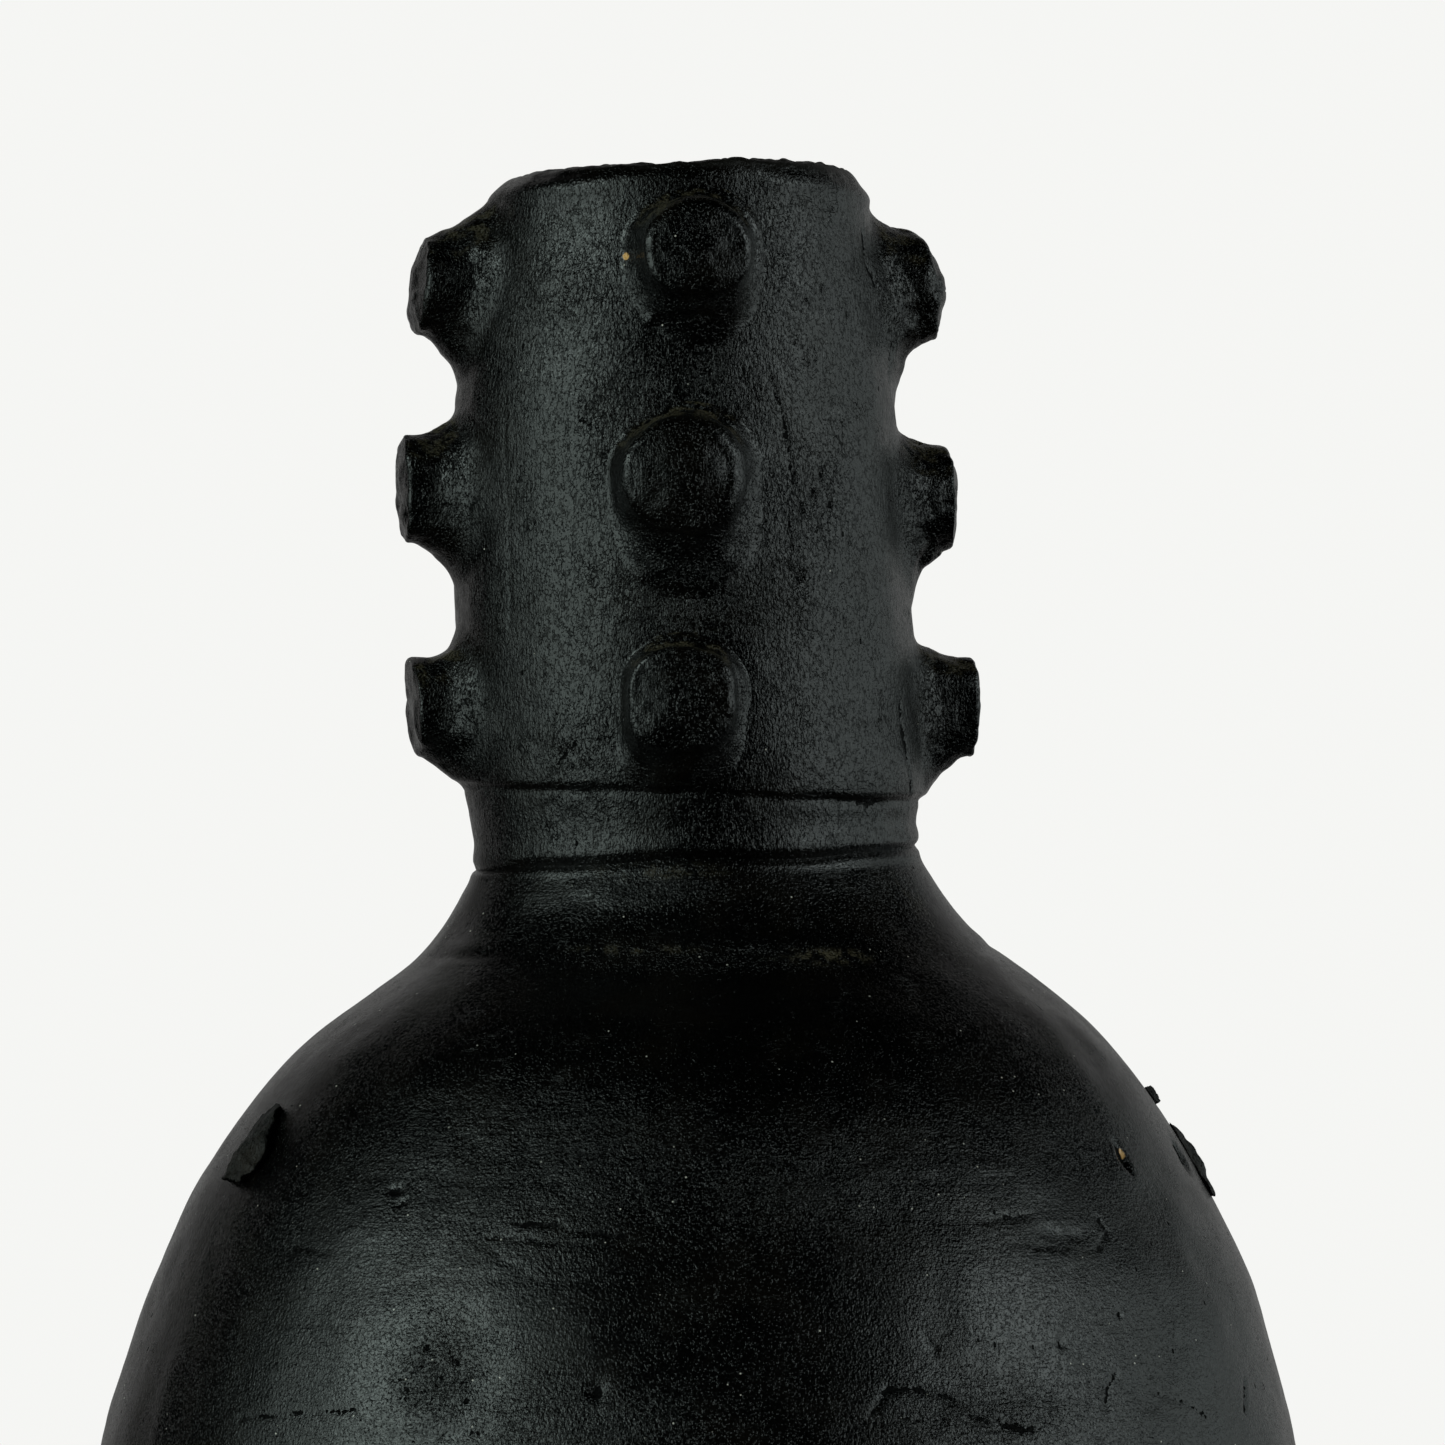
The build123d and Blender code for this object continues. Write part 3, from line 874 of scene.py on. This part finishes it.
def chip_piece(name, seed):
    """A flat crumb of clay with jagged, broken edges, pressed onto the shoulder, with painted shadow on its
    torn sides.
    """
    half_length, half_width, thickness, turn, curl = CHIP_LOOKS[name]
    low, high = (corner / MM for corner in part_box(name))
    middle = (low + high) / 2
    theta_0, height_0 = atan2(middle.y, middle.x), middle.z
    run_0 = np.interp(height_0, outer_heights, outer_run)
    phi = np.linspace(0, 2 * pi, 96, endpoint=False)
    jagged = 1 + 0.10 * np.sin(3 * phi + seed) + 0.035 * np.sin(7 * phi + 2 * seed)
    jagged += 0.03 * np.sin(13 * phi) + 0.02 * np.sin(29 * phi)
    outline = jagged / np.sqrt((np.cos(phi) / half_length) ** 2 + (np.sin(phi) / half_width) ** 2)
    direction = phi + radians(turn)

    rows, torn_edge_shade = [], []
    steps = [(share, 1.0) for share in np.linspace(0.04, 1.0, 20)]
    steps += [(1.02, 0.75), (1.0, 0.45), (0.98, 0.2), (1.0, -0.3), (0.97, -0.9), (0.5, -1.0), (0.05, -1.0)]
    for share, level in steps:
        rho = outline * share
        across, up = rho * np.cos(direction), rho * np.sin(direction)
        height = np.interp(run_0 + up, outer_run, outer_heights)
        radius = outer_radius(height)
        theta = theta_0 + across / radius
        flat_points = np.stack([across, up, 0 * up + seed * 50], -1)
        lumps = 0.24 * noise(flat_points, 3.0, seed) + 0.14 * noise(flat_points, 1.2, seed + 5)
        wedge = 0.30 + 0.70 * smooth_step(share * np.cos(direction + 0.35), -0.8, 0.75)
        crest = thickness * wedge * (1 - 0.15 * share**4)
        top = crest * (1 + lumps) + curl * share**2 * smooth_step(np.cos(direction), 0, 1)
        rows.append(skin_points(theta, height, top * level if level > 0 else level + 0 * top))
        # Painted shadow: the torn sides, most where the chip is thickest, are made dark and less glossy
        # through the crack layer
        torn_edge_shade.append(np.full(len(phi), 1.0 if level < 0.9 else 0.25 * share**6) * smooth_step(wedge, 0.3, 0.6))
    broken = np.concatenate([np.concatenate(torn_edge_shade), [0.0, 0.0]])
    piece = capped_piece(name + "_skin", np.array(rows), {"crack": broken})
    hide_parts(name)
    return piece


chip_skins = [chip_piece(name, 3 + number) for number, name in enumerate(CHIP_LOOKS)]


# ---------------- materials

def new_material(name):
    """A material with one Principled shader: returns it, its node tree and the shader."""
    material = bpy.data.materials.new(name)
    material.use_nodes = True
    return material, material.node_tree, material.node_tree.nodes["Principled BSDF"]


def add_node(tree, kind, inputs=None, **settings):
    """A shader node of a kind, with its settings and its inputs given as values or as sockets to link."""
    node = tree.nodes.new("ShaderNode" + kind)
    for key, value in settings.items():
        setattr(node, key, value)
    for key, value in (inputs or {}).items():
        if isinstance(value, bpy.types.NodeSocket):
            tree.links.new(value, node.inputs[key])
        else:
            node.inputs[key].default_value = value
    return node


def calc(tree, operation, first, second=0.0, third=0.0):
    """One step of shader arithmetic."""
    return add_node(tree, "Math", {0: first, 1: second, 2: third}, operation=operation).outputs[0]


def product(tree, first, second):
    """Two values multiplied."""
    return calc(tree, "MULTIPLY", first, second)


def plus(tree, value, factor, base):
    """A value times a factor, added to a base."""
    return calc(tree, "MULTIPLY_ADD", value, factor, base)


def ramp(tree, value, low, high, start=0.0, end=1.0):
    """A value remapped smoothly from one range to another."""
    inputs = {"Value": value, "From Min": low, "From Max": high, "To Min": start, "To Max": end}
    return add_node(tree, "MapRange", inputs, interpolation_type="SMOOTHSTEP").outputs[0]


def scaled(tree, vector, size):
    """A position divided into cells of a size in millimetres, one number or one for each axis."""
    sizes = (size,) * 3 if isinstance(size, (int, float)) else size
    factors = tuple(1 / (MM * value) for value in sizes)
    return add_node(tree, "VectorMath", {0: vector, 1: factors}, operation="MULTIPLY").outputs[0]


def grain(tree, vector, size, detail=2.0, rough=0.5):
    """Noise from 0 to 1 with cells of a size in millimetres."""
    inputs = {"Vector": scaled(tree, vector, size), "Scale": 1.0, "Detail": detail, "Roughness": rough}
    return add_node(tree, "TexNoise", inputs).outputs["Fac"]


# Colours that cover the clay, each over the one before; dark is painted shade in cracks and pits
COVER_PAINTS = {
    "worn": (0.006, 0.0048, 0.0032), "dust": (0.085, 0.071, 0.042), "ochre": (0.75, 0.42, 0.13),
    "specks": (0.6, 0.57, 0.5), "dark": (0.0004, 0.0004, 0.0004),
}


def clay_material(name, look):
    """Near-black clay: mottled gloss, grain, wrinkles, strokes, cracks, pits, dust and pale specks, with
    painted shade in the cracks, pits and wrinkles' hollows, and brown patches that also stand in for a
    painted reflection.
    """
    material, tree, shader = new_material(name)
    place = add_node(tree, "TexCoord").outputs["Object"]
    colour = look["colour"]

    def layer(name):
        """A surface layer of the mesh, from 0 to 1."""
        return add_node(tree, "Attribute", attribute_name=name).outputs["Fac"]

    mottle = grain(tree, place, 13.0, 3.0, 0.6)
    fine = grain(tree, place, 0.5, 1.0, 0.5)
    medium = grain(tree, place, 1.0, 2.0, 0.6)
    peel_bumps = grain(tree, place, look["peel_cell"], 2.0, 0.6)
    valley = grain(tree, place, look["wrinkle_cell"], 2.0, 0.55)
    wrinkles = ramp(tree, calc(tree, "ABSOLUTE", calc(tree, "SUBTRACT", valley, 0.5)), 0.0, 0.045)
    across = grain(tree, place, (12.0, 12.0, 0.55), 2.0, 0.6)
    upward = grain(tree, place, (0.7, 0.7, 5.0), 2.0, 0.6)
    coarse = layer("coarse")

    # Hairline cracks and crumbled pits, in patches and wherever the clay was left coarse, with painted shade
    # in them
    patch = plus(tree, coarse, 0.16, grain(tree, place, 8.0, 2.0, 0.6))
    middle = calc(tree, "SUBTRACT", grain(tree, place, look["crack_cell"], 2.0, 0.6), 0.5)
    hairline = ramp(tree, calc(tree, "ABSOLUTE", middle), 0.003, 0.018, 1.0, 0.0)
    hairline = product(tree, hairline, ramp(tree, patch, 0.57, 0.70))
    hairline = product(tree, hairline, look["hairline"])
    crumb = product(tree, ramp(tree, medium, 0.31, 0.35, 1.0, 0.0), ramp(tree, patch, 0.56, 0.66))
    ragged = plus(tree, calc(tree, "SUBTRACT", medium, 0.5), 1.1, layer("crack"))
    drawn = ramp(tree, ragged, 0.66, 0.82)
    pits = holes(tree, place, (3.6, 3.6, 5.6), 0.06, 0.12, 1 - look["pits"])
    # Painted shade: cracks and pits get a near-black colour and less specular reflection, besides their bumps
    # and roughness
    dark = calc(tree, "MAXIMUM", calc(tree, "MAXIMUM", hairline, crumb), calc(tree, "MAXIMUM", drawn, pits))

    lively = plus(tree, coarse, look["coarse"], 1.0)
    height = product(tree, peel_bumps, look["peel"])
    grit = ramp(tree, fine, 0.52, 0.80)
    for bumps, key in ((grit, "grit"), (wrinkles, "wrinkle"), (across, "across"), (upward, "upward")):
        height = plus(tree, bumps, look[key], height)
    height = product(tree, height, lively)
    height = plus(tree, dark, -0.35, height)
    bump = add_node(tree, "Bump", {"Strength": 1.0, "Distance": MM, "Height": height})
    tree.links.new(bump.outputs[0], shader.inputs["Normal"])

    # Brown patches at random in the clay's colour, which also stand in for a painted reflection of a warm
    # room
    brown = (colour[0] * 2.4, colour[1] * 1.8, colour[2] * 1.2, 1)
    tint = mixed(tree, ramp(tree, mottle, 0.42, 0.68), (*colour, 1), brown)
    dust = product(tree, layer("dust"), ramp(tree, fine, 0.35, 0.6))
    covers = {
        "worn": layer("worn"), "dust": dust, "ochre": ramp(tree, layer("ochre"), 0.25, 0.55),
        "specks": holes(tree, place, 2.6, 0.05, 0.09, 1 - look["specks"]), "dark": dark,
    }
    for cover, paint in COVER_PAINTS.items():
        tint = mixed(tree, covers[cover], tint, (*paint, 1))
    tree.links.new(tint, shader.inputs["Base Color"])
    gloss = plus(tree, mottle, 0.7, product(tree, fine, 0.5))
    rough = ramp(tree, gloss, 0.42, 0.78, *look["rough"])
    rough = plus(tree, calc(tree, "MAXIMUM", dust, layer("worn")), 0.25, rough)
    rough = plus(tree, dark, 0.4, rough)
    tree.links.new(rough, shader.inputs["Roughness"])
    # Painted shade: less specular reflection in the wrinkles' hollows, and in cracks and pits
    hollow = product(tree, calc(tree, "SUBTRACT", 1.0, wrinkles), look["cavity"])
    shade = calc(tree, "MAXIMUM", product(tree, dark, 0.42), hollow)
    tree.links.new(calc(tree, "SUBTRACT", 0.5, shade), shader.inputs["Specular IOR Level"])
    shader.inputs["IOR"].default_value = 1.5
    return material


def holes(tree, place, cell, inner, outer, threshold):
    """Round dots in some cells of a size in millimetres: radii as shares of a cell, and how few have one."""
    inputs = {"Vector": scaled(tree, place, cell), "Scale": 1.0}
    cells = add_node(tree, "TexVoronoi", inputs).outputs
    chance = add_node(tree, "SeparateColor", {0: cells["Color"]}).outputs[0]
    dot = ramp(tree, cells["Distance"], inner, outer, 1.0, 0.0)
    return product(tree, dot, calc(tree, "GREATER_THAN", chance, threshold))


def mixed(tree, factor, first, second):
    """A colour between two colours."""
    node = add_node(tree, "Mix", {"Factor": factor}, data_type="RGBA")
    for socket, value in ((node.inputs[6], first), (node.inputs[7], second)):
        if isinstance(value, bpy.types.NodeSocket):
            tree.links.new(value, socket)
        else:
            socket.default_value = value
    return node.outputs[2]


# Each clay's look. rough is the range of its roughness. The cells of its bumps, hairline cracks and wrinkles
# are in millimetres, and so are the heights of its peel, grit, wrinkles and strokes across and upward.
# hairline is how dark the painted shade in the hairline cracks is, cavity how dark the painted shade in
# the wrinkles' hollows is and coarse how much livelier the coarse places. pits and specks are the shares of
# cells with a pit darkened by painted shade or a pale speck.
CLAY = {
    "colour": (0.0010, 0.0010, 0.0009), "rough": (0.13, 0.27), "peel_cell": (0.65, 0.65, 1.2),
    "peel": 0.20, "wrinkle_cell": (1.6, 1.6, 2.8), "wrinkle": 0.03, "cavity": 0.34, "pits": 0.07,
    "crack_cell": (2.4, 2.4, 5.0), "hairline": 0.7, "grit": 0.09, "across": 0.02, "upward": 0.05,
    "coarse": 0.9, "specks": 0.04,
}
BELLY_CLAY = {
    "rough": (0.15, 0.27), "peel_cell": (0.65, 0.65, 0.8), "peel": 0.12, "wrinkle_cell": (2.6, 2.6, 1.5),
    "wrinkle": 0.02, "cavity": 0.16, "pits": 0.12, "crack_cell": (8.0, 8.0, 1.2), "hairline": 0.12,
    "grit": 0.08, "across": 0.04, "upward": 0.03, "coarse": 2.0, "specks": 0.16,
}
KNOB_CLAY = {
    "peel_cell": (0.55, 0.55, 1.2), "peel": 0.12, "grit": 0.13, "rough": (0.13, 0.24), "wrinkle": 0.02,
}
RIM_CLAY = {
    "crack_cell": (8.0, 8.0, 1.4),
}
CHIP_CLAY = {
    "colour": (0.005, 0.0044, 0.0036), "rough": (0.5, 0.8), "peel_cell": 1.2, "peel": 0.45, "grit": 0.25,
}
neck_clay = clay_material("burnished_neck", CLAY)
belly_clay = clay_material("burnished_belly", {**CLAY, **BELLY_CLAY})
knob_clay = clay_material("burnished_knob", {**CLAY, **KNOB_CLAY})
rim_clay = clay_material("worn_rim", {**CLAY, **RIM_CLAY})
matte_clay = clay_material("matte_chip", {**CLAY, **CHIP_CLAY})


def finish(piece, material):
    """Gives a piece its material and the body that it rides on."""
    piece.data.materials.append(material)
    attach(piece, "root")


for piece in skin:
    if piece.name.startswith("base_disc"):
        finish(piece, matte_clay)
    elif piece.name.startswith("rim_coil"):
        finish(piece, rim_clay)
    elif piece.name.startswith("knob"):
        finish(piece, knob_clay)
    elif piece.name.startswith("neck"):
        finish(piece, neck_clay)
    else:
        finish(piece, belly_clay)
for piece in chip_skins:
    finish(piece, matte_clay)


# ---------------- stage, light and camera

def stage_floor():
    """A pale round floor that fades out into the background."""
    bpy.ops.mesh.primitive_circle_add(vertices=96, radius=1.3, fill_type="NGON", location=(0, 0, -0.0002))
    floor = bpy.context.object
    floor.name = "floor"
    floor.visible_glossy = False
    material, tree, shader = new_material("pale_floor")
    inputs = {
        "Base Color": (0.86, 0.86, 0.85, 1), "Roughness": 0.9, "Specular IOR Level": 0.1,
        "Emission Color": (1.0, 1.0, 0.98, 1), "Emission Strength": 0.42,
    }
    for key, value in inputs.items():
        shader.inputs[key].default_value = value
    place = add_node(tree, "TexCoord").outputs["Object"]
    away = add_node(tree, "VectorMath", {0: place}, operation="LENGTH").outputs["Value"]
    tree.links.new(ramp(tree, away, 0.35, 1.15, 1.0, 0.0), shader.inputs["Alpha"])
    floor.data.materials.append(material)


stage_floor()


# Soft boxes: azimuths of their left and right edges, elevations of their bottom and top, how soft the edges
# are, all in degrees, and strength. 0, 0 is straight behind the camera.
SOFT_BOXES = [
    (-95, -30, -20, 34, 9, 0.9),
    (-79, -47, 20, 36, 7, 3.3),
    (-76, -38, -14, 16, 8, 0.95),
    (-34, -20, -12, 12, 8, 0.15),
    (46, 98, -14, 22, 8, 0.85),
    (50, 74, -14, 16, 8, 0.75),
    (52, 92, 20, 34, 6, 2.5),
    (98, 124, -14, 22, 8, 0.75),
    (124, 150, -10, 20, 10, 0.25),
]
LEFT_TINT = (0.83, 1.0, 0.94)
RIGHT_TINT = (0.87, 0.99, 0.97)


def studio_world():
    """White backdrop for the eye; for the clay, soft boxes left and right, a wall behind and a dark room."""
    world = bpy.data.worlds.new("studio")
    bpy.context.scene.world = world
    world.use_nodes = True
    tree = world.node_tree
    tree.nodes.clear()
    way = add_node(tree, "TexCoord").outputs["Generated"]
    parts = add_node(tree, "SeparateXYZ", {0: way}).outputs
    forward = product(tree, parts["Y"], -1.0)
    azimuth = product(tree, calc(tree, "ARCTAN2", parts["X"], forward), 180 / pi)
    level = product(tree, calc(tree, "ARCSINE", parts["Z"]), 180 / pi)

    def window(left, right, bottom, top, edge):
        """A soft-edged box in azimuth and elevation, in degrees."""
        mask = ramp(tree, azimuth, left - edge, left + edge)
        mask = product(tree, mask, ramp(tree, azimuth, right - edge, right + edge, 1.0, 0.0))
        mask = product(tree, mask, ramp(tree, level, bottom - edge, bottom + edge))
        return product(tree, mask, ramp(tree, level, top - edge, top + edge, 1.0, 0.0))

    def lit(below, mask, colour, strength):
        """The light below, and one of a colour and strength added where the mask is white."""
        full = tuple(channel * strength for channel in colour)
        glow = add_node(tree, "VectorMath", {0: full, "Scale": mask}, operation="SCALE").outputs[0]
        return add_node(tree, "VectorMath", {0: below, 1: glow}, operation="ADD").outputs[0]

    glow = (0.0, 0.0, 0.0)
    for *edges, strength in SOFT_BOXES:
        tint = LEFT_TINT if edges[0] < 0 else RIGHT_TINT
        glow = lit(glow, window(*edges), tint, strength)
    behind = ramp(tree, forward, -0.9, -0.7, 1.0, 0.0)
    behind = product(tree, behind, ramp(tree, level, 25, 50, 1.0, 0.0))
    glow = lit(glow, behind, (1.0, 1.0, 0.98), 0.25)

    seen = add_node(tree, "LightPath").outputs["Is Camera Ray"]
    white = (0.915, 0.918, 0.90, 1)
    backdrop = add_node(tree, "Background", {"Color": white, "Strength": 1.0}).outputs[0]
    studio = add_node(tree, "Background", {"Color": glow, "Strength": 1.0}).outputs[0]
    both = add_node(tree, "MixShader", {0: seen, 1: studio, 2: backdrop}).outputs[0]
    add_node(tree, "OutputWorld", {"Surface": both})


studio_world()
bpy.context.scene.view_settings.view_transform = "Standard"

CAMERA_DISTANCE = 1.9
CAMERA_HEIGHT = 0.285
CAMERA_SIDE = 0.0042
FRAME_WIDTH = 0.2974


def camera():
    """A level camera in front of the neck, framed as the reference view is."""
    data = bpy.data.cameras.new("camera")
    data.sensor_width = 36.0
    data.lens = data.sensor_width * CAMERA_DISTANCE / FRAME_WIDTH
    data.clip_start, data.clip_end = 0.05, 50.0
    eye = bpy.data.objects.new("camera", data)
    eye.location = (CAMERA_SIDE, -CAMERA_DISTANCE, CAMERA_HEIGHT)
    eye.rotation_euler = (pi / 2, 0, 0)
    bpy.context.scene.collection.objects.link(eye)
    bpy.context.scene.camera = eye


camera()
